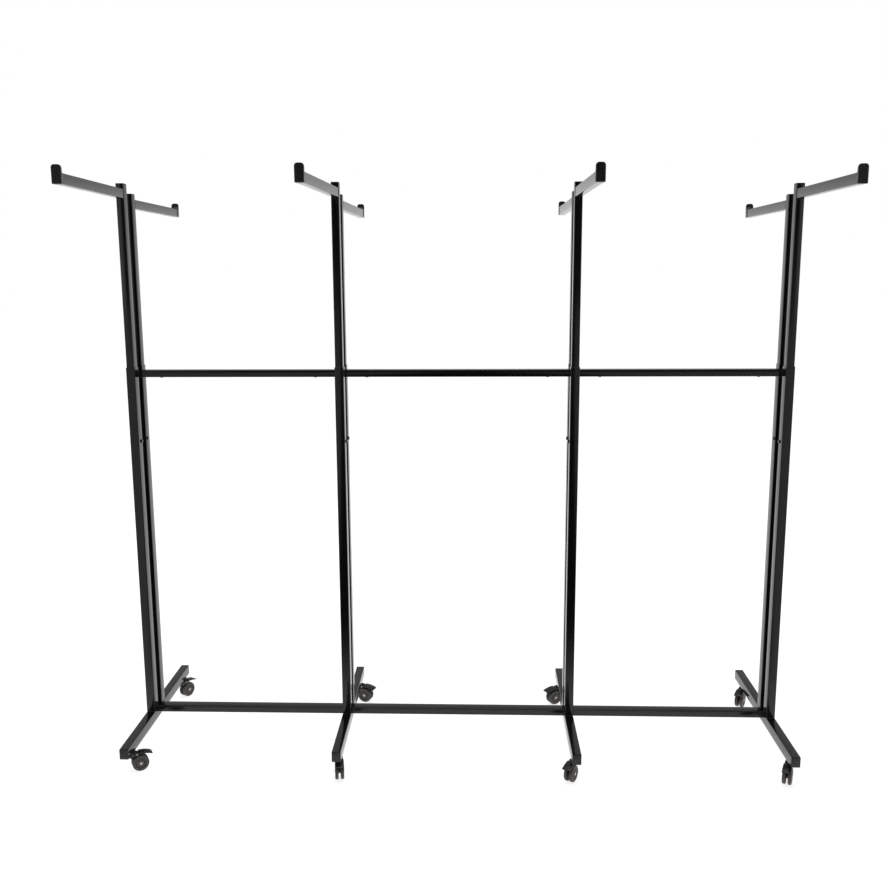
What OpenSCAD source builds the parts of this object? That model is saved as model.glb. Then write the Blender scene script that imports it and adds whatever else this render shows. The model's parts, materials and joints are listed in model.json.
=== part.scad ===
// Rolling clothes rack: four frames with sliding arm posts, joined by rails, on braked casters.
// Origin: on the floor, in the middle of the rack. X runs along the row of frames, -Y is the front.

/* [Rack] */
// Usual height of the front arms' top faces with the slides at rest
arm_top_z = 1592; // [1450:1:1700]
// How far the rear arms are set below the front ones
rear_arm_drop = 22; // [0:1:60]
// Distance between the two middle frames
center_bay = 650; // [400:5:900]
// Distance from each end frame to its neighbour
side_bay = 582; // [400:5:900]
// Height of the lower posts' top ends
post_top_z = 1112; // [1000:1:1200]
// Height of the mid rails' top faces
mid_rail_top_z = 1102; // [960:1:1110]

/* [Feet] */
// Height of the feet's undersides above the floor
foot_z = 62; // [62:1:80]
// Reach of a foot to the front of the rack's middle
foot_front = 276; // [200:2:400]
// Reach of a foot to the rear of the rack's middle
foot_rear = 298; // [200:2:400]
// Distance of a caster's stem from the foot's end
stem_inset = 50; // [30:1:80]

/* [Tubes] */
// Width of feet and lower posts
frame_w = 25; // [24:0.5:40]
// Depth of lower posts and height of feet
frame_d = 30; // [29:0.5:50]
// Wall thickness of every tube
wall = 1.2; // [1:0.1:1.5]
// Gap between the front and the rear post of a frame
post_gap = 32; // [31:0.5:60]
// Clearance on each side of a sliding post
slide_gap = 0.5; // [0.3:0.05:0.8]
// Height of the rails
rail_h = 20; // [15:0.5:30]
// Depth of the rails
rail_d = 30; // [20:0.5:30]

/* [Arms] */
// Length of an arm's tube from its post
arm_len = 443; // [300:1:600]
// Width of an arm
arm_w = 20; // [15:0.5:25]
// Height of an arm
arm_h = 25; // [20:0.5:30]
// Height of an arm's end cap
cap_h = 43; // [35:0.5:60]

/* [Casters] */
// Wheel radius
wheel_r = 23; // [22:0.5:23]
// Thickness of one wheel of the pair
wheel_t = 9; // [7:0.5:10]
// Distance of the axle from the swivel axis
trail = 24; // [22:0.5:26]

/* [Hidden] */
FRAMES = ["1", "2", "3", "4"];
FRAME_X = [-center_bay / 2 - side_bay, -center_bay / 2, center_bay / 2, center_bay / 2 + side_bay];
BAYS = ["left", "center", "right"];
// Direction in which each caster trails at rest, in degrees from +X
FRONT_TRAIL = [30, -80, -120, -115];
REAR_TRAIL = [60, -20, -150, -120];
// Resting height of each arm above its usual one
FRONT_ARM_LIFT = [3, 2, -2, -10];
REAR_ARM_LIFT = [2, -4, 0, -12];
// Turn of each arm on its post, seen from above, in degrees
FRONT_ARM_TURN = [3, -1.7, 0, -1.9];
REAR_ARM_TURN = [2, -0.8, -0.4, -2];

$fn = 48;
STEEL = [0.05, 0.05, 0.055];
ZINC = [0.7, 0.7, 0.72];
PLASTIC = [0.09, 0.09, 0.095];
WHEEL = [0.27, 0.25, 0.23];

// Feet and posts
foot_top_z = foot_z + frame_d;
front_stem_y = stem_inset - foot_front;
rear_stem_y = foot_rear - stem_inset;
// Middle of a front post and of its outer face, measured from the rack's middle plane
post_y = post_gap / 2 + frame_d / 2;
slide_w = frame_w - 2 * wall - 2 * slide_gap;
slide_d = frame_d - 2 * wall - 2 * slide_gap;
slide_face_y = post_y + slide_d / 2;
slide_bottom_z = 592;
slide_end_above_arm = 13;
lock_bolt_z = 902;

// Arms
// How far an arm's tube runs into its post's wall, so that a turned arm meets it all round
arm_root = 0.9;
cap_w = arm_w + 2;
cap_t = 8;
cap_curve_r = 12;
cap_edge_t = 0.6;
cap_top_r = 7;
cap_low_r = 2;
flange_t = 1.6;
flange_lip = 0.4;
plug_depth = 14;
plug_wall = 2;
plug_gap = 0.1;

// Rails
rail_inner_h = rail_h - 2 * wall;
rail_inner_d = rail_d - 2 * wall;
stub_gap = 0.3;
mid_stub_len = 90;
bottom_stub_len = 90;
screw_from_post = 60;
screw_r = 3;
screw_hole_r = 3.1;
screw_head_r = 5;
screw_head_t = 2.6;
screw_len = 10;
front_post_y = -post_y;

// Casters, in their own frame: swivel axis at x = 0, wheels trailing towards +x
stem_r = 5;
stem_run = 0.05;
stem_bottom_z = foot_z - 16;
stem_top_z = foot_z + 14;
collar_r = 9;
collar_t = 5.6;
nut_r = 8.5;
nut_t = 6;
neck_r = 10.5;
neck_top_z = foot_z - 6;
neck_bottom_z = foot_z - 18;
web_t = 5;
wheel_side_gap = 0.6;
axle_r = 3;
axle_run = 0.05;
axle_len = 2 * (web_t / 2 + wheel_side_gap + wheel_t) + 2.4;
pin_x = 15;
pin_z = foot_z - 11.5;
pin_r = 2;
pin_run = 0.05;
barrel_r = 4;
barrel_half = 7;
ear_in = 7.6;
ear_out = 10.4;
paddle_w = 24;

// Rectangular tube along +Z, centred on X and Y
module tube_z(w, d, len, t = wall) {
    difference() {
        translate([-w / 2, -d / 2, 0]) cube([w, d, len]);
        translate([-w / 2 + t, -d / 2 + t, -1]) cube([w - 2 * t, d - 2 * t, len + 2]);
    }
}

// Rectangular tube along +Y, centred on X, standing on z = 0
module tube_y(w, h, len, t = wall) {
    difference() {
        translate([-w / 2, 0, 0]) cube([w, len, h]);
        translate([-w / 2 + t, -1, t]) cube([w - 2 * t, len + 2, h - 2 * t]);
    }
}

// Rectangular tube along +X, centred on Y, standing on z = 0
module tube_x(len, d, h, t = wall) {
    difference() {
        translate([0, -d / 2, 0]) cube([len, d, h]);
        translate([-1, -d / 2 + t, t]) cube([len + 2, d - 2 * t, h - 2 * t]);
    }
}

module foot_beam(i) {
    color(STEEL)
    translate([FRAME_X[i], 0, foot_z])
    difference() {
        translate([0, -foot_front, 0]) tube_y(frame_w, frame_d, foot_front + foot_rear);
        for (y = [front_stem_y, rear_stem_y])
            translate([0, y, -1]) cylinder(r = stem_r + 0.2, h = wall + 2);
    }
}

module lower_posts(i) {
    color(STEEL)
    for (side = [-1, 1])
        difference() {
            translate([FRAME_X[i], side * post_y, foot_top_z])
                tube_z(frame_w, frame_d, post_top_z - foot_top_z);
            translate([FRAME_X[i], bolt_y(side), lock_bolt_z])
                rotate([0, bolt_turn(i), 0])
                cylinder(r = screw_hole_r, h = frame_w);
        }
}

// A lock bolt sits in the post's side that faces the rack's middle, close to the gap
function bolt_y(side) = side * (post_gap / 2 + 9);
function bolt_turn(i) = FRAME_X[i] < 0 ? 90 : -90;

module post_lock_bolts() {
    color(ZINC)
    for (i = [0:3])
        for (side = [-1, 1])
            translate([FRAME_X[i], bolt_y(side), lock_bolt_z])
                rotate([0, bolt_turn(i), 0]) {
                    translate([0, 0, slide_w / 2 + 0.3]) cylinder(r = screw_r, h = frame_w / 2 - slide_w / 2);
                    translate([0, 0, frame_w / 2]) cylinder(r = 5, h = 3.5, $fn = 6);
                }
}

// Rails run between the side faces of the frames
function bay_start(b) = FRAME_X[b] + frame_w / 2;
function bay_len(b) = FRAME_X[b + 1] - FRAME_X[b] - frame_w;

module rail(b, y, top_z) {
    color(STEEL)
    translate([bay_start(b), y, top_z - rail_h])
    difference() {
        tube_x(bay_len(b), rail_d, rail_h);
        for (x = [screw_from_post, bay_len(b) - screw_from_post])
            translate([x, 0, -1]) cylinder(r = screw_hole_r, h = wall + 2);
    }
}

module mid_rail(b) {
    rail(b, 0, mid_rail_top_z);
}

module bottom_rail(b) {
    rail(b, front_post_y, foot_top_z + rail_h);
}

// Stub that reaches into a rail: from x = 0 towards +x
module stub(len) {
    difference() {
        translate([0, -rail_inner_d / 2 + stub_gap, -rail_inner_h / 2 + stub_gap])
            cube([len, rail_inner_d - 2 * stub_gap, rail_inner_h - 2 * stub_gap]);
        translate([screw_from_post, 0, -rail_inner_h])
            cylinder(r = screw_r + 0.05, h = 2 * rail_inner_h);
    }
}

// Calls the children once for each rail end of frame i, turned so that +x points into the rail
module at_rail_ends(i) {
    if (i < 3) translate([frame_w / 2, 0, 0]) children();
    if (i > 0) mirror([1, 0, 0]) translate([frame_w / 2, 0, 0]) children();
}

module mid_rail_connectors() {
    color(STEEL)
    for (i = [0:3])
        translate([FRAME_X[i], 0, mid_rail_top_z - rail_h / 2]) {
            translate([-frame_w / 2, -post_gap / 2, -rail_h / 2]) cube([frame_w, post_gap, rail_h]);
            at_rail_ends(i) stub(mid_stub_len);
        }
}

module bottom_rail_stubs() {
    color(STEEL)
    for (i = [0:3])
        translate([FRAME_X[i], front_post_y, foot_top_z + rail_h / 2])
            at_rail_ends(i) stub(bottom_stub_len);
}

// Screw driven up from below: head under z = 0, shank above
module screw_up() {
    translate([0, 0, -screw_head_t]) cylinder(r = screw_head_r, h = screw_head_t);
    cylinder(r = screw_r, h = screw_len);
}

module rail_screws() {
    color(ZINC)
    for (b = [0:2])
        for (x = [screw_from_post, bay_len(b) - screw_from_post]) {
            translate([bay_start(b) + x, 0, mid_rail_top_z - rail_h]) screw_up();
            translate([bay_start(b) + x, front_post_y, foot_top_z]) screw_up();
        }
}

// Push-in plug for a tube w by h, centred on the z axis: flange above z = 0, hollow skirt below
module plug(w, h, depth) {
    inner_w = w - 2 * wall - 2 * plug_gap;
    inner_h = h - 2 * wall - 2 * plug_gap;
    translate([-w / 2 + flange_lip, -h / 2 + flange_lip, 0])
        cube([w - 2 * flange_lip, h - 2 * flange_lip, flange_t]);
    difference() {
        translate([-inner_w / 2, -inner_h / 2, -depth]) cube([inner_w, inner_h, depth]);
        translate([-inner_w / 2 + plug_wall, -inner_h / 2 + plug_wall, -depth - 1])
            cube([inner_w - 2 * plug_wall, inner_h - 2 * plug_wall, depth + 1]);
    }
}

module foot_end_plugs() {
    color(PLASTIC)
    for (x = FRAME_X) {
        translate([x, -foot_front, foot_z + frame_d / 2]) rotate([90, 0, 0]) plug(frame_w, frame_d, plug_depth);
        translate([x, foot_rear, foot_z + frame_d / 2]) rotate([-90, 0, 0]) plug(frame_w, frame_d, plug_depth);
    }
}

// An arm post is modelled for the front and turned half a turn for the rear
function arm_lift(i, rear) = rear ? REAR_ARM_LIFT[i] - rear_arm_drop : FRONT_ARM_LIFT[i];
function arm_turn(i, rear) = rear ? REAR_ARM_TURN[i] : FRONT_ARM_TURN[i];

module on_post(i, rear) {
    translate([FRAME_X[i], 0, arm_lift(i, rear)])
        rotate([0, 0, rear ? 180 : 0])
        children();
}

// Children start at y = 0 on the post's outer face, with the arm's underside at z = 0
module on_face(i, rear) {
    translate([0, -slide_face_y, arm_top_z - arm_h])
        rotate([0, 0, arm_turn(i, rear)])
        children();
}

module arm_post(i, rear) {
    color(STEEL)
    on_post(i, rear) {
        translate([0, -post_y, slide_bottom_z])
            tube_z(slide_w, slide_d, arm_top_z + slide_end_above_arm - slide_bottom_z);
        on_face(i, rear)
            translate([0, -arm_len, 0]) tube_y(arm_w, arm_h, arm_len + arm_root);
    }
}

// Side outline of an arm's end cap: x runs outward from the tube's end, y up from its underside
module cap_side() {
    difference() {
        square([cap_curve_r + cap_t, cap_h]);
        translate([0, arm_h + cap_edge_t + cap_curve_r]) circle(r = cap_curve_r);
    }
}

// Outline of the end cap's face, with round corners: x across, y up
module cap_face() {
    low_x = cap_w / 2 - cap_low_r;
    top_x = cap_w / 2 - cap_top_r;
    translate([-cap_w / 2, cap_low_r]) square([cap_w, cap_h - cap_top_r - cap_low_r]);
    translate([-low_x, 0]) square([2 * low_x, cap_low_r + 1]);
    translate([-top_x, cap_h - cap_top_r - 1]) square([2 * top_x, cap_top_r + 1]);
    for (side = [-1, 1]) {
        translate([side * low_x, cap_low_r]) circle(r = cap_low_r);
        translate([side * top_x, cap_h - cap_top_r]) circle(r = cap_top_r);
    }
}

module arm_cap() {
    inner_w = arm_w - 2 * wall - 2 * plug_gap;
    inner_h = arm_h - 2 * wall - 2 * plug_gap;
    intersection() {
        translate([cap_w / 2, 0, 0])
            rotate([0, 0, -90]) rotate([90, 0, 0]) linear_extrude(height = cap_w) cap_side();
        translate([0, 1, 0])
            rotate([90, 0, 0]) linear_extrude(height = cap_curve_r + cap_t + 2) cap_face();
    }
    translate([-inner_w / 2, -1, wall + plug_gap]) cube([inner_w, plug_depth + 1, inner_h]);
}

module arm_caps(i, rear) {
    color(PLASTIC)
    on_post(i, rear) {
        on_face(i, rear) translate([0, -arm_len, 0]) arm_cap();
        translate([0, -post_y, arm_top_z + slide_end_above_arm]) plug(slide_w, slide_d, plug_depth);
    }
}

// Casters
function stem_y(rear) = rear ? rear_stem_y : front_stem_y;
function trail_angle(i, rear) = rear ? REAR_TRAIL[i] : FRONT_TRAIL[i];

module on_stem(i, rear) {
    translate([FRAME_X[i], stem_y(rear), 0]) rotate([0, 0, trail_angle(i, rear)]) children();
}

module caster_stems() {
    color(ZINC)
    for (x = FRAME_X)
        for (y = [front_stem_y, rear_stem_y])
            translate([x, y, 0]) {
                translate([0, 0, stem_bottom_z]) cylinder(r = stem_r, h = stem_top_z - stem_bottom_z);
                translate([0, 0, foot_z - collar_t]) cylinder(r = collar_r, h = collar_t);
                translate([0, 0, foot_z + wall]) cylinder(r = nut_r, h = nut_t, $fn = 6);
            }
}

// Side outline of the web between the two wheels: x along the trail, y up
module web_side() {
    polygon([
        [-neck_r + 1, neck_bottom_z + 1.5],
        [neck_r - 1, neck_bottom_z + 1.5],
        [trail + 7, wheel_r + 4],
        [trail + 5, wheel_r - 6],
        [trail - 5, wheel_r - 6]
    ]);
}

module caster_body(i, rear) {
    color(PLASTIC)
    on_stem(i, rear) {
        difference() {
            union() {
                translate([0, 0, neck_bottom_z]) cylinder(r = neck_r, h = neck_top_z - neck_bottom_z);
                translate([0, web_t / 2, 0]) rotate([90, 0, 0]) linear_extrude(height = web_t) web_side();
                for (y = [-ear_out, ear_in])
                    translate([0, y, pin_z - barrel_r]) cube([pin_x + barrel_r, ear_out - ear_in, 2 * barrel_r]);
            }
            translate([0, 0, stem_bottom_z - 0.5])
                cylinder(r = stem_r + stem_run, h = neck_top_z - stem_bottom_z + 1);
            translate([trail, web_t, wheel_r]) rotate([90, 0, 0]) cylinder(r = axle_r + 0.02, h = 2 * web_t);
            translate([pin_x, ear_out + 1, pin_z]) rotate([90, 0, 0])
                cylinder(r = pin_r + 0.02, h = 2 * ear_out + 2);
        }
        translate([trail, axle_len / 2, wheel_r]) rotate([90, 0, 0]) cylinder(r = axle_r, h = axle_len);
        translate([pin_x, ear_out + 0.4, pin_z]) rotate([90, 0, 0]) cylinder(r = pin_r, h = 2 * ear_out + 0.8);
    }
}

// One wheel of a pair, its inner face at z = 0
module wheel() {
    difference() {
        rotate_extrude()
            polygon([
                [axle_r + axle_run, 0],
                [wheel_r - 1, 0],
                [wheel_r, 1],
                [wheel_r, wheel_t - 2],
                [wheel_r - 2, wheel_t],
                [axle_r + axle_run, wheel_t]
            ]);
        translate([0, 0, wheel_t - 1])
            difference() {
                cylinder(r = wheel_r * 0.62, h = 2);
                translate([0, 0, -1]) cylinder(r = wheel_r * 0.4, h = 4);
            }
    }
}

module wheels(i, rear) {
    color(WHEEL)
    on_stem(i, rear)
    translate([trail, 0, wheel_r])
    for (side = [-1, 1])
        rotate([side * 90, 0, 0]) translate([0, 0, web_t / 2 + wheel_side_gap]) wheel();
}

// Side outline of the brake paddle: x along the trail, y up
module paddle_side() {
    polygon([
        [pin_x + 5.5, pin_z + 4.2],
        [pin_x + 25, pin_z + 2.5],
        [pin_x + 37, pin_z - 1],
        [pin_x + 43, pin_z - 5],
        [pin_x + 40, pin_z - 5],
        [pin_x + 24.5, pin_z - 0.8],
        [pin_x + 5.5, pin_z + 0.8]
    ]);
}

module brake(i, rear) {
    color(PLASTIC)
    on_stem(i, rear)
    difference() {
        union() {
            translate([pin_x, barrel_half, pin_z]) rotate([90, 0, 0])
                cylinder(r = barrel_r, h = 2 * barrel_half);
            translate([pin_x, -barrel_half, pin_z + 0.8]) cube([7, 2 * barrel_half, 3.2]);
            translate([0, paddle_w / 2, 0]) rotate([90, 0, 0]) linear_extrude(height = paddle_w) paddle_side();
        }
        translate([pin_x, paddle_w, pin_z]) rotate([90, 0, 0])
            cylinder(r = pin_r + pin_run, h = 2 * paddle_w);
    }
}

mid_rail_connectors();
bottom_rail_stubs();
rail_screws();
foot_end_plugs();
caster_stems();
post_lock_bolts();
for (b = [0:2]) {
    mid_rail(b);
    bottom_rail(b);
}
for (i = [0:3]) {
    foot_beam(i);
    lower_posts(i);
    for (rear = [false, true]) {
        place = rear ? "rear_" : "front_";
        arm_post(i, rear);
        arm_caps(i, rear);
        caster_body(i, rear);
        wheels(i, rear);
        brake(i, rear);
    }
}
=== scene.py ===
"""Looks of the rolling clothes rack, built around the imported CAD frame. Lengths are in metres."""
import json
import math

import bmesh
import bpy
from mathutils import Matrix, Vector


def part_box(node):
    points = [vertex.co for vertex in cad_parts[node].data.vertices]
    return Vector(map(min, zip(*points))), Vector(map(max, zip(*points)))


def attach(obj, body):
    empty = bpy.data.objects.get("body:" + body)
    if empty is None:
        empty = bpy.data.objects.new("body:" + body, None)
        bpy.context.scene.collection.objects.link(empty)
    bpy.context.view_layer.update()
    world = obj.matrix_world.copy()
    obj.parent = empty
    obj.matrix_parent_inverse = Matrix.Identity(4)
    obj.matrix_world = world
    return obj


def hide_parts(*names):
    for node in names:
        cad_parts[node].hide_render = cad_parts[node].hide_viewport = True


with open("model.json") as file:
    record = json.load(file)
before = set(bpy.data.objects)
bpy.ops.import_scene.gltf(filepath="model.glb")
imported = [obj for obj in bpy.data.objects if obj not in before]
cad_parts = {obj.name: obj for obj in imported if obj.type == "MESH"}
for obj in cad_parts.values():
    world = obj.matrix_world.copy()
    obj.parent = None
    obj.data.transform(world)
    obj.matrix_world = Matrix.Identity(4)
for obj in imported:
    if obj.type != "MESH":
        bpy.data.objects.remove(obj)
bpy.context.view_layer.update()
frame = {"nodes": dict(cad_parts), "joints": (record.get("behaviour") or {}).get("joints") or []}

MM = 0.001
FRAMES = (1, 2, 3, 4)
PLACES = ("front", "rear")
WALL = 1.2 * MM
TUBE_CORNER = 2.0 * MM
CORNER_STEPS = 5
PLUG_DEPTH = 14 * MM
PLUG_FLANGE = 1.6 * MM
PLUG_INSET = 0.8 * MM
FOOT_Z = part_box("foot_beam_1")[0].z
JOINTS = {joint["name"]: joint for joint in frame["joints"]}


# ---------------------------------------------------------------- materials

def new_material(name, color, roughness, metallic=0.0):
    """A Principled material, returned with its tree and shader for the detail that is added to it."""
    material = bpy.data.materials.new(name)
    material.use_nodes = True
    tree = material.node_tree
    shader = tree.nodes["Principled BSDF"]
    shader.inputs["Base Color"].default_value = (*color, 1.0)
    shader.inputs["Roughness"].default_value = roughness
    shader.inputs["Metallic"].default_value = metallic
    return material, tree, shader


def noise(tree, scale, detail=3.0):
    """Noise in object space, so that it keeps its real size on every piece."""
    where = tree.nodes.new("ShaderNodeTexCoord")
    node = tree.nodes.new("ShaderNodeTexNoise")
    node.inputs["Scale"].default_value = scale
    node.inputs["Detail"].default_value = detail
    tree.links.new(where.outputs["Object"], node.inputs["Vector"])
    return node.outputs["Fac"]


def ramp(tree, source, low, high, start=0.3, end=0.7):
    """Maps a noise value to a number or colour between low and high."""
    node = tree.nodes.new("ShaderNodeValToRGB")
    node.color_ramp.elements[0].position = start
    node.color_ramp.elements[1].position = end
    node.color_ramp.elements[0].color = low
    node.color_ramp.elements[1].color = high
    tree.links.new(source, node.inputs["Fac"])
    return node.outputs["Color"]


def grey(value):
    return (value, value, value, 1.0)


def bump(tree, shader, source, distance, strength=1.0):
    node = tree.nodes.new("ShaderNodeBump")
    node.inputs["Distance"].default_value = distance
    node.inputs["Strength"].default_value = strength
    tree.links.new(source, node.inputs["Height"])
    tree.links.new(node.outputs["Normal"], shader.inputs["Normal"])


def paint():
    """Glossy black powder coat: faint orange peel and a little haze where hands have rubbed it."""
    material, tree, shader = new_material("black_steel_paint", (0.004, 0.004, 0.0045), 0.12)
    haze = ramp(tree, noise(tree, 9.0), grey(0.10), grey(0.17))
    tree.links.new(haze, shader.inputs["Roughness"])
    tone = ramp(tree, noise(tree, 22.0), (0.0035, 0.0035, 0.004, 1.0), (0.006, 0.006, 0.0065, 1.0))
    tree.links.new(tone, shader.inputs["Base Color"])
    bump(tree, shader, noise(tree, 700.0, 2.0), 0.000012, 0.3)
    return material


def plastic(name, color, roughness, grain):
    """Moulded black plastic with a fine spark-eroded grain."""
    material, tree, shader = new_material(name, color, roughness)
    worn = ramp(tree, noise(tree, 60.0), grey(roughness - 0.07), grey(roughness + 0.08))
    tree.links.new(worn, shader.inputs["Roughness"])
    lighter = tuple(1.5 * c for c in color)
    tone = ramp(tree, noise(tree, 35.0), (*color, 1.0), (*lighter, 1.0))
    tree.links.new(tone, shader.inputs["Base Color"])
    bump(tree, shader, noise(tree, grain, 4.0), 0.00002, 0.4)
    return material


def tread():
    """Brownish grey wheel, duller and dustier in patches."""
    material, tree, shader = new_material("wheel_tread", (0.10, 0.088, 0.076), 0.5)
    dust = ramp(tree, noise(tree, 130.0, 5.0), (0.035, 0.031, 0.027, 1.0), (0.09, 0.08, 0.07, 1.0))
    tree.links.new(dust, shader.inputs["Base Color"])
    rough = ramp(tree, noise(tree, 90.0), grey(0.38), grey(0.6))
    tree.links.new(rough, shader.inputs["Roughness"])
    bump(tree, shader, noise(tree, 1500.0, 4.0), 0.0001, 0.5)
    return material


def zinc():
    """Bright zinc plate with a cloudy finish."""
    material, tree, shader = new_material("zinc_plate", (0.6, 0.6, 0.62), 0.3, 1.0)
    cloud = ramp(tree, noise(tree, 240.0), grey(0.22), grey(0.42))
    tree.links.new(cloud, shader.inputs["Roughness"])
    tone = ramp(tree, noise(tree, 160.0), (0.5, 0.5, 0.52, 1.0), (0.68, 0.68, 0.69, 1.0))
    tree.links.new(tone, shader.inputs["Base Color"])
    return material


PAINT = paint()
CAP_PLASTIC = plastic("cap_plastic", (0.005, 0.005, 0.0055), 0.24, 2600.0)
CASTER_PLASTIC = plastic("caster_plastic", (0.008, 0.008, 0.0085), 0.26, 2200.0)
HUB_PLASTIC = plastic("wheel_hub_plastic", (0.10, 0.093, 0.085), 0.36, 2400.0)
# Near-black colour of the wheel's ring grooves: painted shade in the recesses, not the plastic's own colour
GROOVE_SHADE = plastic("wheel_groove_shade", (0.012, 0.011, 0.01), 0.5, 2400.0)
TREAD = tread()
ZINC = zinc()


# ---------------------------------------------------------------- mesh building

def finish_piece(bm, name, body, materials, nodes=(), sharp_angle=35.0):
    """Turns bm into a piece that rides on a body, smooth except along its real edges."""
    bmesh.ops.recalc_face_normals(bm, faces=bm.faces)
    for face in bm.faces:
        face.smooth = True
    for edge in bm.edges:
        edge.smooth = edge.is_manifold and edge.calc_face_angle() < math.radians(sharp_angle)
    mesh = bpy.data.meshes.new(name)
    bm.to_mesh(mesh)
    bm.free()
    for material in materials:
        mesh.materials.append(material)
    piece = bpy.data.objects.new(name, mesh)
    bpy.context.scene.collection.objects.link(piece)
    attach(piece, body)
    if nodes:
        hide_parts(*nodes)
    return piece


def rounded_rect(width, height, radii, steps=CORNER_STEPS):
    """Points of a rectangle centred on 0, counter-clockwise from the lower right corner.
    radii are the corners' radii: lower right, upper right, upper left, lower left."""
    points = []
    signs = ((1, -1), (1, 1), (-1, 1), (-1, -1))
    for corner, (sx, sy) in enumerate(signs):
        r = min(radii[corner], 0.499 * width, 0.499 * height)
        centre = Vector((sx * (width / 2 - r), sy * (height / 2 - r)))
        start = math.radians(-90 + 90 * corner)
        for k in range(steps + 1):
            angle = start + math.pi / 2 * k / steps
            points.append(centre + r * Vector((math.cos(angle), math.sin(angle))))
    return points


def add_loops(bm, loops, place=Matrix.Identity(4), closed=False):
    """Skins loops of equal length in order and caps both ends, or joins the last to the first.
    Returns the faces, loop by loop."""
    rings = [[bm.verts.new(place @ Vector(p)) for p in loop] for loop in loops]
    pairs = list(zip(rings, rings[1:]))
    if closed:
        pairs.append((rings[-1], rings[0]))
    faces = []
    for a, b in pairs:
        for k in range(len(a)):
            n = (k + 1) % len(a)
            faces.append(bm.faces.new((a[k], a[n], b[n], b[k])))
    if not closed:
        faces.append(bm.faces.new(list(reversed(rings[0]))))
        faces.append(bm.faces.new(rings[-1]))
    return faces


# Turns that lay a shape's own z along a row axis, with its own x and y across it
ALONG = {
    "z": Matrix.Identity(4),
    "y": Matrix(((1, 0, 0, 0), (0, 0, 1, 0), (0, 1, 0, 0), (0, 0, 0, 1))),
    "x": Matrix(((0, 0, 1, 0), (1, 0, 0, 0), (0, 1, 0, 0), (0, 0, 0, 1))),
}
ACROSS = {"z": (0, 1), "y": (0, 2), "x": (1, 2)}
INDEX = {"x": 0, "y": 1, "z": 2}
# Stands a flat shape up: its own x and y become x and z
UPRIGHT = Matrix(((1, 0, 0, 0), (0, 0, -1, 0), (0, 1, 0, 0), (0, 0, 0, 1)))


def add_tube(bm, low, high, axis, corner=TUBE_CORNER, wall=WALL):
    """A rectangular tube with round corners and open ends that fills the box from low to high."""
    a, b = ACROSS[axis]
    width, height = high[a] - low[a], high[b] - low[b]
    length = high[INDEX[axis]] - low[INDEX[axis]]
    middle = (Vector(low) + Vector(high)) / 2
    lip = 0.25 * MM
    outer = rounded_rect(width, height, [corner] * 4)
    lipped = rounded_rect(width - 2 * lip, height - 2 * lip, [corner - lip] * 4)
    inner = rounded_rect(width - 2 * wall, height - 2 * wall, [corner - 0.8 * wall] * 4)
    half = length / 2
    stations = [(lipped, -half), (outer, -half + lip), (outer, half - lip), (lipped, half)]
    stations += [(inner, half), (inner, -half)]
    loops = [[(*p, z) for p in points] for points, z in stations]
    add_loops(bm, loops, Matrix.Translation(middle) @ ALONG[axis], closed=True)


def add_block(bm, low, high, bevel=0.6 * MM):
    """A solid box with rounded edges."""
    width, depth, height = (high[k] - low[k] for k in range(3))
    middle = (Vector(low) + Vector(high)) / 2
    loops = []
    steps = 3
    for side in (-1, 1):
        arc = [math.pi / 2 * k / steps for k in range(steps + 1)]
        for angle in (arc if side < 0 else reversed(arc)):
            inset = bevel * (1 - math.sin(angle))
            z = side * (height / 2 - bevel * (1 - math.cos(angle)))
            points = rounded_rect(width - 2 * inset, depth - 2 * inset, [bevel] * 4, 3)
            loops.append([(*p, z) for p in points])
    add_loops(bm, loops, Matrix.Translation(middle))


def add_turned(bm, profile, place, steps=48, hexagons=(), closed=False):
    """A turned shape: profile is a list of (radius, z). Stations listed in hexagons are six-sided.
    A closed profile comes back to its start and leaves the middle open."""
    loops = []
    for number, (radius, z) in enumerate(profile):
        loop = []
        for k in range(steps):
            angle = 2 * math.pi * k / steps
            r = radius
            if number in hexagons:
                from_flat = (angle + math.pi / 6) % (math.pi / 3) - math.pi / 6
                r = radius * math.cos(math.pi / 6) / math.cos(from_flat)
            loop.append((r * math.cos(angle), r * math.sin(angle), z))
        loops.append(loop)
    return add_loops(bm, loops, place, closed)


def merge(bm, other):
    """Copies the mesh of other into bm and frees it."""
    mesh = bpy.data.meshes.new("merge")
    other.to_mesh(mesh)
    other.free()
    bm.from_mesh(mesh)
    bpy.data.meshes.remove(mesh)


def add_plate(bm, outline, thickness, place, bevel=0.5 * MM):
    """A flat plate with rounded edges: the outline lies in its own x and y, thickness along z."""
    plate = bmesh.new()
    verts = [plate.verts.new((x, y, -thickness / 2)) for x, y in outline]
    face = plate.faces.new(verts)
    pushed = bmesh.ops.extrude_face_region(plate, geom=[face])
    moved = [v for v in pushed["geom"] if isinstance(v, bmesh.types.BMVert)]
    bmesh.ops.translate(plate, verts=moved, vec=(0, 0, thickness))
    bmesh.ops.recalc_face_normals(plate, faces=plate.faces)
    bmesh.ops.bevel(plate, geom=list(plate.edges), offset=bevel, segments=2, profile=0.5, affect="EDGES")
    plate.transform(place)
    merge(bm, plate)


def add_bead(bm, start, end, radius=1.3 * MM, pitch=2.2 * MM):
    """A weld bead along a straight seam, with the ripples of its puddles."""
    start, end = Vector(start), Vector(end)
    run = (end - start).length
    place = Matrix.Translation(start) @ (end - start).to_track_quat("Z", "Y").to_matrix().to_4x4()
    per_ripple, ripple = 4, 0.16
    end_size, end_growth = 0.35, 8
    count = max(4, round(run / pitch)) * per_ripple
    profile = []
    for k in range(count + 1):
        share = k / count
        swell = 1 + ripple * abs(math.sin(math.pi * k / per_ripple))
        end_taper = min(1.0, end_size + end_growth * min(share, 1 - share))
        profile.append((radius * swell * end_taper, run * share))
    add_turned(bm, profile, place, 8)


# ---------------------------------------------------------------- static frame

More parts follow.
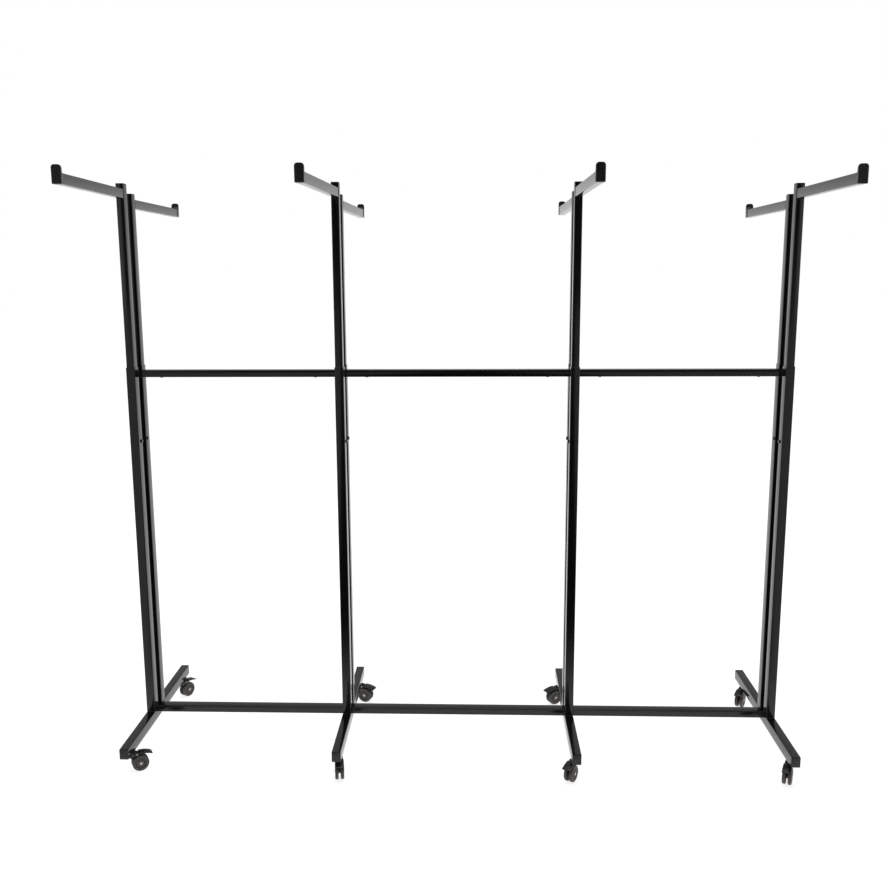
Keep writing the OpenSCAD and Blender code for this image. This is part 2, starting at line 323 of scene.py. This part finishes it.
def boxes_of(node):
    """The boxes of a CAD node's separate solids, sorted by their middle."""
    mesh = frame["nodes"][node].data
    bm = bmesh.new()
    bm.from_mesh(mesh)
    bmesh.ops.remove_doubles(bm, verts=bm.verts, dist=1e-6)
    bm.verts.ensure_lookup_table()
    seen, found = set(), []
    for vert in bm.verts:
        if vert.index in seen:
            continue
        stack, members = [vert], []
        seen.add(vert.index)
        while stack:
            here = stack.pop()
            members.append(here.co.copy())
            for edge in here.link_edges:
                other = edge.other_vert(here)
                if other.index not in seen:
                    seen.add(other.index)
                    stack.append(other)
        low = Vector([min(c[k] for c in members) for k in range(3)])
        high = Vector([max(c[k] for c in members) for k in range(3)])
        found.append((low, high))
    bm.free()
    return sorted(found, key=lambda box: [round(c, 4) for c in (box[0] + box[1]) / 2])


def build_tubes():
    """Foot beams, posts and rails: each CAD tube becomes a tube with rolled corners."""
    for i in FRAMES:
        node = f"foot_beam_{i}"
        bm = bmesh.new()
        add_tube(bm, *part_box(node), "y")
        finish_piece(bm, f"foot_beam_tube_{i}", "frame", [PAINT], [node])
        node = f"lower_posts_{i}"
        bm = bmesh.new()
        for low, high in boxes_of(node):
            add_tube(bm, low, high, "z")
        finish_piece(bm, f"lower_post_tubes_{i}", "frame", [PAINT], [node])
    for level in ("mid", "bottom"):
        for bay in ("left", "center", "right"):
            node = f"{level}_rail_{bay}"
            bm = bmesh.new()
            add_tube(bm, *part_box(node), "x")
            finish_piece(bm, f"{level}_rail_tube_{bay}", "frame", [PAINT], [node])


def frame_gap(i):
    """Width of the gap between the front and the rear post of a frame."""
    front, rear = sorted(boxes_of(f"lower_posts_{i}"), key=lambda box: box[0].y)
    return rear[0].y - front[1].y


def build_welds():
    """Weld beads where the posts stand on the feet, and where the connector blocks meet the posts."""
    inset, sunk, thin_bead = 1.5 * MM, 0.4 * MM, 0.9 * MM
    for i in FRAMES:
        bm = bmesh.new()
        for low, high in boxes_of(f"lower_posts_{i}"):
            for y in (low.y, high.y):
                add_bead(bm, (low.x + inset, y, low.z), (high.x - inset, y, low.z))
        low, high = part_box(f"lower_posts_{i}")
        rail_low, rail_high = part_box("mid_rail_center")
        gap_half = frame_gap(i) / 2
        for side in (low.x, high.x):
            for y in (-gap_half, gap_half):
                x = side + math.copysign(sunk, (low.x + high.x) / 2 - side)
                add_bead(bm, (x, y, rail_low.z + MM), (x, y, rail_high.z - MM), thin_bead)
        finish_piece(bm, f"frame_welds_{i}", "frame", [PAINT])


def nearest_posts(x):
    """The box of the pair of posts nearest to x."""
    boxes = [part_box(f"lower_posts_{i}") for i in FRAMES]
    return min(boxes, key=lambda box: abs((box[0].x + box[1].x) / 2 - x))


def build_connectors():
    """Blocks welded between the posts, with the stubs that enter the rails."""
    stub_inset = Vector((0.0, 2.3 * MM, 1.5 * MM))
    least_stub = 10 * MM
    bm = bmesh.new()
    for low, high in boxes_of("mid_rail_connectors"):
        post_low, post_high = nearest_posts((low.x + high.x) / 2)
        add_block(bm, (post_low.x, low.y, low.z), (post_high.x, high.y, high.z))
        if low.x < post_low.x - least_stub:
            add_block(bm, low + stub_inset, Vector((post_low.x + MM, high.y, high.z)) - stub_inset)
        if high.x > post_high.x + least_stub:
            add_block(bm, Vector((post_high.x - MM, low.y, low.z)) + stub_inset, high - stub_inset)
    finish_piece(bm, "mid_rail_connector_blocks", "frame", [PAINT], ["mid_rail_connectors"])
    bm = bmesh.new()
    for low, high in boxes_of("bottom_rail_stubs"):
        add_block(bm, low, high, 1.2 * MM)
    finish_piece(bm, "bottom_rail_stub_blocks", "frame", [PAINT], ["bottom_rail_stubs"])


def plug_loops(width, height):
    """Loops of a push-in plug: skirt below z = 0 and a softly domed flange above it."""
    skirt_w, skirt_h = width - 2 * WALL - 0.2 * MM, height - 2 * WALL - 0.2 * MM
    flange, soft = PLUG_FLANGE, 0.6 * MM
    stations = [
        (skirt_w - MM, skirt_h - MM, 0.8 * MM, -PLUG_DEPTH),
        (skirt_w, skirt_h, 1.0 * MM, -PLUG_DEPTH + MM),
        (skirt_w, skirt_h, 1.0 * MM, 0.0),
        (width, height, TUBE_CORNER, 0.0),
        (width, height, TUBE_CORNER, flange - soft),
        (width - 0.35 * soft, height - 0.35 * soft, TUBE_CORNER, flange - 0.35 * soft),
        (width - 2 * soft, height - 2 * soft, TUBE_CORNER, flange),
    ]
    return [[(*p, z) for p in rounded_rect(w, h, [r] * 4)] for w, h, r, z in stations]


def build_foot_plugs():
    """Push-in plugs in both ends of each foot beam."""
    bm = bmesh.new()
    for i in FRAMES:
        low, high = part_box(f"foot_beam_{i}")
        centre = (low + high) / 2
        plug = plug_loops(high.x - low.x - PLUG_INSET, high.z - low.z - PLUG_INSET)
        for y, turn in ((low.y, math.pi / 2), (high.y, -math.pi / 2)):
            add_loops(bm, plug, Matrix.Translation((centre.x, y, centre.z)) @ Matrix.Rotation(turn, 4, "X"))
    finish_piece(bm, "foot_plugs", "frame", [CAP_PLASTIC], ["foot_end_plugs"])


def add_button_screw(bm, place, head_r, head_t, shank_r, length):
    """A button head screw with a hexagon socket: the head below z = 0, the shank above."""
    socket = 0.45 * head_r
    profile = [
        (shank_r - 0.5 * MM, length), (shank_r, length - 0.6 * MM), (shank_r, 0.0), (head_r - 0.2 * MM, 0.0),
        (head_r, -0.3 * MM), (0.9 * head_r, -0.62 * head_t), (0.68 * head_r, -0.93 * head_t),
        (0.52 * head_r, -head_t), (socket, -head_t), (socket, -0.35 * head_t), (0.1 * head_r, -0.3 * head_t),
    ]
    add_turned(bm, profile, place, 36, hexagons=(8, 9))


def build_fasteners():
    """Rail screws driven up from below, and the hexagon bolts that lock the sliding posts."""
    shank_r, screw_head_t, bolt_head_t, bolt_r = 3 * MM, 2.6 * MM, 3.5 * MM, 5 * MM
    bm = bmesh.new()
    for low, high in boxes_of("rail_screws"):
        centre = (low + high) / 2
        head_r = (high.x - low.x) / 2
        place = Matrix.Translation((centre.x, centre.y, low.z + screw_head_t))
        add_button_screw(bm, place, head_r, screw_head_t, shank_r, high.z - low.z - screw_head_t)
    finish_piece(bm, "rail_button_screws", "frame", [PAINT], ["rail_screws"])
    bm = bmesh.new()
    for low, high in boxes_of("post_lock_bolts"):
        centre = (low + high) / 2
        toward = 1 if centre.x < 0 else -1
        outer = high.x if toward > 0 else low.x
        place = Matrix.Translation((outer - toward * bolt_head_t, centre.y, centre.z))
        place = place @ Matrix.Rotation(toward * math.pi / 2, 4, "Y")
        shank = (high.x - low.x) - bolt_head_t
        profile = [
            (shank_r - 0.6 * MM, -shank), (shank_r, -shank + 0.6 * MM), (shank_r, 0.0),
            (0.96 * bolt_r, 0.0), (bolt_r, 0.4 * MM), (bolt_r, bolt_head_t - 0.7 * MM),
            (0.82 * bolt_r, bolt_head_t - 0.1 * MM), (0.3 * bolt_r, bolt_head_t),
        ]
        add_turned(bm, profile, place, 36, hexagons=(3, 4, 5))
    finish_piece(bm, "post_lock_bolts_detail", "frame", [PAINT], ["post_lock_bolts"])


def build_stems():
    """Caster stems: a turned collar under the foot, a threaded shank and its nut inside."""
    stem_r, collar_r, collar_t = 5 * MM, 9 * MM, 5.6 * MM
    nut_r, nut_top = 8.5 * MM, WALL + 6 * MM
    pitch, thread = 1.5 * MM, 0.7 * MM
    bm = bmesh.new()
    for low, high in boxes_of("caster_stems"):
        centre = (low + high) / 2
        place = Matrix.Translation((centre.x, centre.y, FOOT_Z))
        bottom, top = low.z - FOOT_Z, high.z - FOOT_Z
        profile = [
            (stem_r - 0.6 * MM, bottom), (stem_r, bottom + 0.6 * MM), (stem_r, -collar_t),
            (collar_r - 0.8 * MM, -collar_t), (collar_r, -collar_t + 0.8 * MM), (collar_r, -0.4 * MM),
            (collar_r - 0.4 * MM, 0.0), (stem_r, 0.0), (stem_r, WALL), (nut_r, WALL), (nut_r, nut_top),
            (stem_r, nut_top),
        ]
        z = nut_top
        while z + pitch < top:
            profile += [(stem_r - thread, z + 0.5 * pitch), (stem_r, z + pitch)]
            z += pitch
        profile += [(stem_r - 0.8 * MM, top)]
        add_turned(bm, profile, place, 36, hexagons=(9, 10))
    finish_piece(bm, "caster_stem_shafts", "frame", [ZINC], ["caster_stems"])


# ---------------------------------------------------------------- arm posts

# How far each arm is turned on its post, seen from above, in degrees
ARM_TURN = {"front": (3.0, -1.7, 0.0, -1.9), "rear": (2.0, -0.8, -0.4, -2.0)}
ARM_LEN = 443 * MM
ARM_ROOT = 0.9 * MM
ARM_W = 20 * MM
ARM_H = 25 * MM
POST_W = 21.6 * MM
POST_D = 26.6 * MM
POST_ABOVE_ARM = 13 * MM


def build_arm_post(place, i):
    """A sliding post with its arm, the welds between them, the arm's end cap and the post's plug."""
    node, body = f"{place}_arm_post_{i}", f"{place}_arm_{i}"
    toward = -1 if place == "front" else 1
    low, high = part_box(node)
    posts_low, posts_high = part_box(f"lower_posts_{i}")
    x = (posts_low.x + posts_high.x) / 2
    inner_y = high.y if toward < 0 else low.y
    outer_y = inner_y + toward * POST_D
    arm_low = high.z - POST_ABOVE_ARM - ARM_H
    turn = math.radians(ARM_TURN[place][i - 1] + (180 if toward > 0 else 0))
    arm_place = Matrix.Translation((x, outer_y, arm_low)) @ Matrix.Rotation(turn, 4, "Z")

    bm = bmesh.new()
    front_y, back_y = sorted((inner_y, outer_y))
    add_tube(bm, (x - POST_W / 2, front_y, low.z), (x + POST_W / 2, back_y, high.z), "z")
    arm = bmesh.new()
    add_tube(arm, (-ARM_W / 2, -ARM_LEN, 0.0), (ARM_W / 2, ARM_ROOT, ARM_H), "y")
    arm.transform(arm_place)
    merge(bm, arm)
    finish_piece(bm, f"{place}_arm_weldment_{i}", body, [PAINT], [node])

    bm = bmesh.new()
    inset, sunk, bead_r = 1.2 * MM, 0.1 * MM, 1.1 * MM
    half = ARM_W / 2 - 0.2 * MM
    for z in (sunk, ARM_H - sunk):
        add_bead(bm, (-half + inset, 0.0, z), (half - inset, 0.0, z), bead_r)
    for side in (-half, half):
        add_bead(bm, (side, 0.0, inset), (side, 0.0, ARM_H - inset), bead_r)
    bm.transform(arm_place)
    finish_piece(bm, f"{place}_arm_welds_{i}", body, [PAINT])

    bm = bmesh.new()
    add_loops(bm, cap_loops(), arm_place @ Matrix.Translation((0, -ARM_LEN, 0)) @ UPRIGHT)
    plug_place = Matrix.Translation((x, (inner_y + outer_y) / 2, high.z))
    add_loops(bm, plug_loops(POST_W - PLUG_INSET, POST_D - PLUG_INSET), plug_place)
    finish_piece(bm, f"{place}_arm_plastics_{i}", body, [CAP_PLASTIC],
                 [f"{place}_arm_caps_{i}"])


def cap_loops():
    """Loops of an arm's end cap. z runs outward from the tube's end, y up from the arm's underside."""
    width, height, curve_r, thick = ARM_W + 2 * MM, 43 * MM, 12 * MM, 8 * MM
    edge_t, top_r, low_r, soft, dome = 0.6 * MM, 7 * MM, 2 * MM, 1.3 * MM, 3 * MM

    def loop(top, z, inset=0.0):
        reach = top - 2 * inset
        r_top = min(top_r, 0.3 * reach)
        points = rounded_rect(width - 2 * inset, reach, [low_r, r_top, r_top, low_r])
        return [(px, py + top / 2, z) for px, py in points]

    plug_w, plug_h = ARM_W - 2 * WALL - 0.2 * MM, ARM_H - 2 * WALL - 0.2 * MM
    loops = []
    for z, inset in ((-PLUG_DEPTH, 0.8 * MM), (-PLUG_DEPTH + MM, 0.0), (0.0, 0.0)):
        points = rounded_rect(plug_w - 2 * inset, plug_h - 2 * inset, [MM] * 4)
        loops.append([(px, py + ARM_H / 2, z) for px, py in points])
    steps = 10
    for k in range(steps + 1):
        angle = math.pi / 2 * k / steps
        top = ARM_H + edge_t + curve_r * (1 - math.cos(angle))
        if top > height - dome:
            break
        loops.append(loop(top, curve_r * math.sin(angle)))
    inner = curve_r * math.sin(math.acos(1 - (height - dome - ARM_H - edge_t) / curve_r))
    for k in range(5):
        angle = math.pi / 2 * k / 4
        loops.append(loop(height - dome * (1 - math.sin(angle)), inner + dome * (1 - math.cos(angle))))
    end = curve_r + thick
    for k in range(5):
        angle = math.pi / 2 * k / 4
        loops.append(loop(height, end - soft * (1 - math.sin(angle)), soft * (1 - math.cos(angle))))
    loops.append(loop(height, end, soft + 1.2 * MM))
    loops.append(loop(height, end - 0.4 * MM, soft + 1.6 * MM))
    return loops


# ---------------------------------------------------------------- casters

WHEEL_R = JOINTS["front_wheel_spin_1"]["pos_m"][2]
WHEEL_T = 9 * MM
TRAIL = 24 * MM
WEB_T = 5 * MM
WHEEL_GAP = 0.6 * MM
BORE_R = 3.3 * MM
NECK_R = 10.5 * MM
NECK_TOP = FOOT_Z - 6 * MM
NECK_BOTTOM = FOOT_Z - 18 * MM
BOSS_R = 7.5 * MM
EAR_R = 4 * MM
EAR_T = 2.8 * MM
EAR_Y = 9 * MM
PIN_X = 15 * MM
PIN_Z = JOINTS["front_brake_press_1"]["pos_m"][2]


def caster_place(place, i):
    """The caster's own frame in the row frame: swivel axis at x = 0, wheels trailing towards +x."""
    swivel = Vector(JOINTS[f"{place}_caster_swivel_{i}"]["pos_m"])
    axle = Vector(JOINTS[f"{place}_wheel_spin_{i}"]["pos_m"])
    angle = math.atan2(axle.y - swivel.y, axle.x - swivel.x)
    return Matrix.Translation((swivel.x, swivel.y, 0)) @ Matrix.Rotation(angle, 4, "Z")


def crosswise(x, z):
    """Lays a turned shape's axis across the caster at x and z."""
    return Matrix.Translation((x, 0, z)) @ Matrix.Rotation(math.pi / 2, 4, "X")


def wheel_profile():
    """Half section of a wheel, as (radius, z): inner face, tread, then the ringed outer face."""
    r, t = WHEEL_R, WHEEL_T
    return [
        (BORE_R, 0.0), (0.9 * r, 0.0), (0.965 * r, 0.5 * MM), (r, 1.6 * MM), (r, t - 2.6 * MM),
        (0.985 * r, t - 1.4 * MM), (0.955 * r, t - 0.5 * MM), (0.91 * r, t), (0.66 * r, t),
        (0.63 * r, t - 0.3 * MM), (0.61 * r, t - 1.3 * MM), (0.56 * r, t - 1.3 * MM),
        (0.54 * r, t - 0.3 * MM), (0.51 * r, t - 0.1 * MM), (0.45 * r, t - 0.1 * MM),
        (0.42 * r, t - 0.3 * MM), (0.405 * r, t - 1.2 * MM), (0.35 * r, t - 1.2 * MM),
        (0.335 * r, t - 0.2 * MM), (0.30 * r, t + 0.3 * MM), (0.14 * r, t + 0.5 * MM),
        (BORE_R, t - 0.6 * MM),
    ]


# First and last profile stations of the wheel's grooves, which are painted near black as painted shade in
# the recesses, and of its lighter hub
GROOVES = ((9, 11), (15, 17))
HUB_FROM = 18
TREAD_SLOT, HUB_SLOT, GROOVE_SLOT = 0, 1, 2


def build_wheels(place, i, home):
    """Both wheels of a caster, with their tread and hub materials and painted shade in their grooves."""
    bm = bmesh.new()
    steps = 64
    profile = wheel_profile()
    for side in (-1, 1):
        spot = home @ Matrix.Translation((TRAIL, 0, WHEEL_R)) @ Matrix.Rotation(-side * math.pi / 2, 4, "X")
        spot = spot @ Matrix.Translation((0, 0, WEB_T / 2 + WHEEL_GAP))
        faces = add_turned(bm, profile, spot, steps, closed=True)
        for number in range(len(profile)):
            # The grooves' faces take the near-black painted shade
            if any(first <= number <= last for first, last in GROOVES):
                slot = GROOVE_SLOT
            else:
                slot = HUB_SLOT if number >= HUB_FROM else TREAD_SLOT
            for face in faces[number * steps:(number + 1) * steps]:
                face.material_index = slot
    finish_piece(bm, f"{place}_wheel_discs_{i}", f"{place}_wheel_pair_{i}",
                 [TREAD, HUB_PLASTIC, GROOVE_SHADE], [f"{place}_wheels_{i}"])


def build_caster_body(place, i, home):
    """Neck, web between the wheels, ears for the brake's pin, then the axle and the pin themselves."""
    r, top, bottom, stem_bore = NECK_R, NECK_TOP, NECK_BOTTOM, 5.3 * MM
    bm = bmesh.new()
    neck = [
        (r - 1.6 * MM, bottom), (r - 0.4 * MM, bottom + 0.7 * MM), (r, bottom + 2 * MM),
        (r, top - 3.2 * MM), (r - 0.5 * MM, top - 2.6 * MM), (r - 0.5 * MM, top - 1 * MM),
        (r - 1.4 * MM, top), (stem_bore, top), (stem_bore, top - 10 * MM),
    ]
    add_turned(bm, neck, home, 40)
    boss = [(TRAIL + BOSS_R * math.cos(a), WHEEL_R + BOSS_R * math.sin(a))
            for a in (math.radians(-125 + 20 * k) for k in range(9))]
    web = [(-r + 1.2 * MM, bottom + 1.5 * MM)] + boss + [(r - 1.5 * MM, bottom + 1.5 * MM)]
    add_plate(bm, web, WEB_T, home @ UPRIGHT)
    slant = 0.7 * EAR_R
    ear = [
        (0.0, PIN_Z - EAR_R), (PIN_X, PIN_Z - EAR_R), (PIN_X + slant, PIN_Z - slant),
        (PIN_X + EAR_R, PIN_Z), (PIN_X + slant, PIN_Z + slant), (PIN_X, PIN_Z + EAR_R),
        (0.0, PIN_Z + EAR_R),
    ]
    for side in (-1, 1):
        add_plate(bm, ear, EAR_T, home @ UPRIGHT @ Matrix.Translation((0, 0, side * EAR_Y)), 0.4 * MM)
    finish_piece(bm, f"{place}_caster_neck_{i}", f"{place}_caster_{i}",
                 [CASTER_PLASTIC], [f"{place}_caster_body_{i}"])
    bm = bmesh.new()
    axle = (TRAIL, WHEEL_R, 3 * MM, 13.3 * MM)
    pin = (PIN_X, PIN_Z, 2 * MM, 10.8 * MM)
    for x, z, r, half in (axle, pin):
        profile = [(0.5 * r, -half), (0.85 * r, -half + 0.15 * MM), (r, -half + 0.6 * MM),
                   (r, half - 0.6 * MM), (0.85 * r, half - 0.15 * MM), (0.5 * r, half)]
        add_turned(bm, profile, home @ crosswise(x, z), 32)
    finish_piece(bm, f"{place}_caster_axles_{i}", f"{place}_caster_{i}", [ZINC])


# Side view of the brake paddle in millimetres from its pin: the top outward, then the underside back
PADDLE_TOP = ((5.5, 4.2), (12.0, 4.3), (19.0, 3.6), (25.0, 2.5), (31.0, 0.9), (37.0, -1.0), (41.0, -3.4),
              (43.0, -5.0))
PADDLE_UNDER = ((39.8, -5.0), (34.0, -3.2), (24.5, -0.8), (14.0, 0.6), (5.5, 0.8))
PADDLE_W = 24 * MM
RIB_W = 18 * MM


def paddle_point(x, z):
    """A point of the paddle's side view in the caster's own x and z."""
    return (PIN_X + x * MM, PIN_Z + z * MM)


def build_brake(place, i, home):
    """The brake paddle: a curved plate with grip ribs, on a barrel round its pin."""
    bm = bmesh.new()
    outline = [paddle_point(x, z) for x, z in PADDLE_TOP + PADDLE_UNDER]
    add_plate(bm, outline, PADDLE_W, home @ UPRIGHT, 0.6 * MM)
    bore_r, r, half, soft = 2.1 * MM, 4 * MM, 7 * MM, 0.3 * MM
    barrel = [(bore_r, -half), (r - soft, -half), (r, -half + 0.4 * MM), (r, half - 0.4 * MM),
              (r - soft, half), (bore_r, half)]
    add_turned(bm, barrel, home @ crosswise(PIN_X, PIN_Z), 32, closed=True)
    link_x, link_t, link_z = 3.4 * MM, 3.0 * MM, 2.4 * MM
    link = [(-link_x, -half), (link_x, -half), (link_x, half), (-link_x, half)]
    link_place = home @ Matrix.Translation((PIN_X + link_x, 0, PIN_Z + link_z))
    add_plate(bm, link, link_t, link_place, 0.4 * MM)
    foot_half, top_half, rib_h = 0.9 * MM, 0.5 * MM, 0.5 * MM
    for x, z in PADDLE_TOP[3:7]:
        px, pz = paddle_point(x, z)
        rib = [(px - foot_half, pz - MM), (px + foot_half, pz - MM), (px + top_half, pz + rib_h),
               (px - top_half, pz + rib_h)]
        add_plate(bm, rib, RIB_W, home @ UPRIGHT, 0.2 * MM)
    finish_piece(bm, f"{place}_brake_paddle_{i}", f"{place}_brake_pedal_{i}",
                 [CASTER_PLASTIC], [f"{place}_brake_{i}"])


# ---------------------------------------------------------------- stage

def map_range(tree, source, start, end, low, high, interpolation="SMOOTHSTEP"):
    """Maps source from start..end to low..high. low may be another node's output."""
    node = tree.nodes.new("ShaderNodeMapRange")
    node.interpolation_type = interpolation
    for name, value in (("From Min", start), ("From Max", end), ("To Max", high)):
        node.inputs[name].default_value = value
    if isinstance(low, bpy.types.NodeSocket):
        tree.links.new(low, node.inputs["To Min"])
    else:
        node.inputs["To Min"].default_value = low
    tree.links.new(source, node.inputs["Value"])
    return node.outputs["Result"]


def math_node(tree, operation, first, second=None):
    node = tree.nodes.new("ShaderNodeMath")
    node.operation = operation
    tree.links.new(first, node.inputs[0])
    if second is not None:
        tree.links.new(second, node.inputs[1])
    return node.outputs["Value"]


def coordinates(tree, output):
    """X, Y and Z of a texture coordinate."""
    where = tree.nodes.new("ShaderNodeTexCoord")
    parts = tree.nodes.new("ShaderNodeSeparateXYZ")
    tree.links.new(where.outputs[output], parts.inputs["Vector"])
    return parts.outputs["X"], parts.outputs["Y"], parts.outputs["Z"]


def camera_ray(tree):
    """1 where the camera sees the surface itself, 0 where it is mirrored or lights something."""
    return tree.nodes.new("ShaderNodeLightPath").outputs["Is Camera Ray"]


def build_floor():
    """A white floor without an edge. What the rack mirrors of it is bright behind and dark in front."""
    bm = bmesh.new()
    bmesh.ops.create_grid(bm, x_segments=2, y_segments=2, size=30.0)
    mesh = bpy.data.meshes.new("floor")
    bm.to_mesh(mesh)
    bm.free()
    floor = bpy.data.objects.new("floor", mesh)
    bpy.context.scene.collection.objects.link(floor)
    floor.location.z = -0.0005
    material, tree, shader = new_material("floor_white", (0.8, 0.8, 0.8), 0.9)
    shader.inputs["Specular IOR Level"].default_value = 0.0
    shader.inputs["Emission Color"].default_value = (1.0, 1.0, 1.0, 1.0)
    dark_base, white_base = 0.03, 0.8
    side_glow, back_glow, seen_glow = 0.16, 0.62, 0.76
    x, y, _ = coordinates(tree, "Object")
    side = map_range(tree, math_node(tree, "ABSOLUTE", x), 0.7, 1.3, 0.0, 1.0)
    back = map_range(tree, y, -1.1, -0.2, 0.0, 1.0)
    lit = math_node(tree, "MAXIMUM", side, back)
    seen = camera_ray(tree)
    white = math_node(tree, "MAXIMUM", lit, seen)
    base = map_range(tree, white, 0.0, 1.0, dark_base, white_base, "LINEAR")
    tree.links.new(base, shader.inputs["Base Color"])
    strength = map_range(tree, back, 0.0, 1.0, side_glow, back_glow, "LINEAR")
    mirrored = math_node(tree, "MULTIPLY", lit, strength)
    glow = map_range(tree, seen, 0.0, 1.0, mirrored, seen_glow, "LINEAR")
    tree.links.new(glow, shader.inputs["Emission Strength"])
    mesh.materials.append(material)


def build_world():
    """White surroundings. What the rack mirrors is dark behind the camera and dimmer overhead."""
    world = bpy.data.worlds.new("studio")
    bpy.context.scene.world = world
    world.use_nodes = True
    tree = world.node_tree
    background = tree.nodes["Background"]
    dark, middle_sky, overhead = 0.03, 0.62, 0.55
    _, y, z = coordinates(tree, "Generated")
    behind = map_range(tree, y, -0.957, -0.93, dark, 1.0)
    low_sky = map_range(tree, z, -0.02, 0.10, 1.0, middle_sky, "LINEAR")
    high_sky = map_range(tree, z, 0.10, 0.5, 1.0, overhead, "LINEAR")
    shade = math_node(tree, "MULTIPLY", behind, math_node(tree, "MULTIPLY", low_sky, high_sky))
    tree.links.new(math_node(tree, "MAXIMUM", shade, camera_ray(tree)), background.inputs["Color"])
    background.inputs["Strength"].default_value = 1.0


def area_light(name, location, target, size, power):
    """A square light of the given edge length that faces the target."""
    data = bpy.data.lights.new(name, "AREA")
    data.size = size
    data.energy = power
    light = bpy.data.objects.new(name, data)
    bpy.context.scene.collection.objects.link(light)
    light.location = location
    light.rotation_euler = (Vector(target) - Vector(location)).to_track_quat("-Z", "Y").to_euler()


def build_camera():
    """A camera above chest height in front of the rack, turned a little down and to the left."""
    place = Matrix.Translation((0.0508, -2.7254, 1.384))
    pan, tilt, roll = 0.0344, 0.1773, -0.0051
    data = bpy.data.cameras.new("camera")
    data.sensor_width = 36.0
    data.lens = 39.84
    camera = bpy.data.objects.new("camera", data)
    bpy.context.scene.collection.objects.link(camera)
    turn = Matrix.Rotation(pan, 4, "Z") @ Matrix.Rotation(math.pi / 2 - tilt, 4, "X")
    camera.matrix_world = place @ turn @ Matrix.Rotation(roll, 4, "Z")
    bpy.context.scene.camera = camera


build_camera()
build_world()
build_floor()
area_light("soft_top", (0.0, 0.6, 4.6), (0.0, 0.0, 0.8), 3.0, 45.0)
build_tubes()
build_welds()
build_connectors()
build_foot_plugs()
build_fasteners()
build_stems()
for end in PLACES:
    for index in FRAMES:
        build_arm_post(end, index)
        caster_home = caster_place(end, index)
        build_caster_body(end, index, caster_home)
        build_wheels(end, index, caster_home)
        build_brake(end, index, caster_home)
bpy.context.scene.view_settings.view_transform = "Standard"
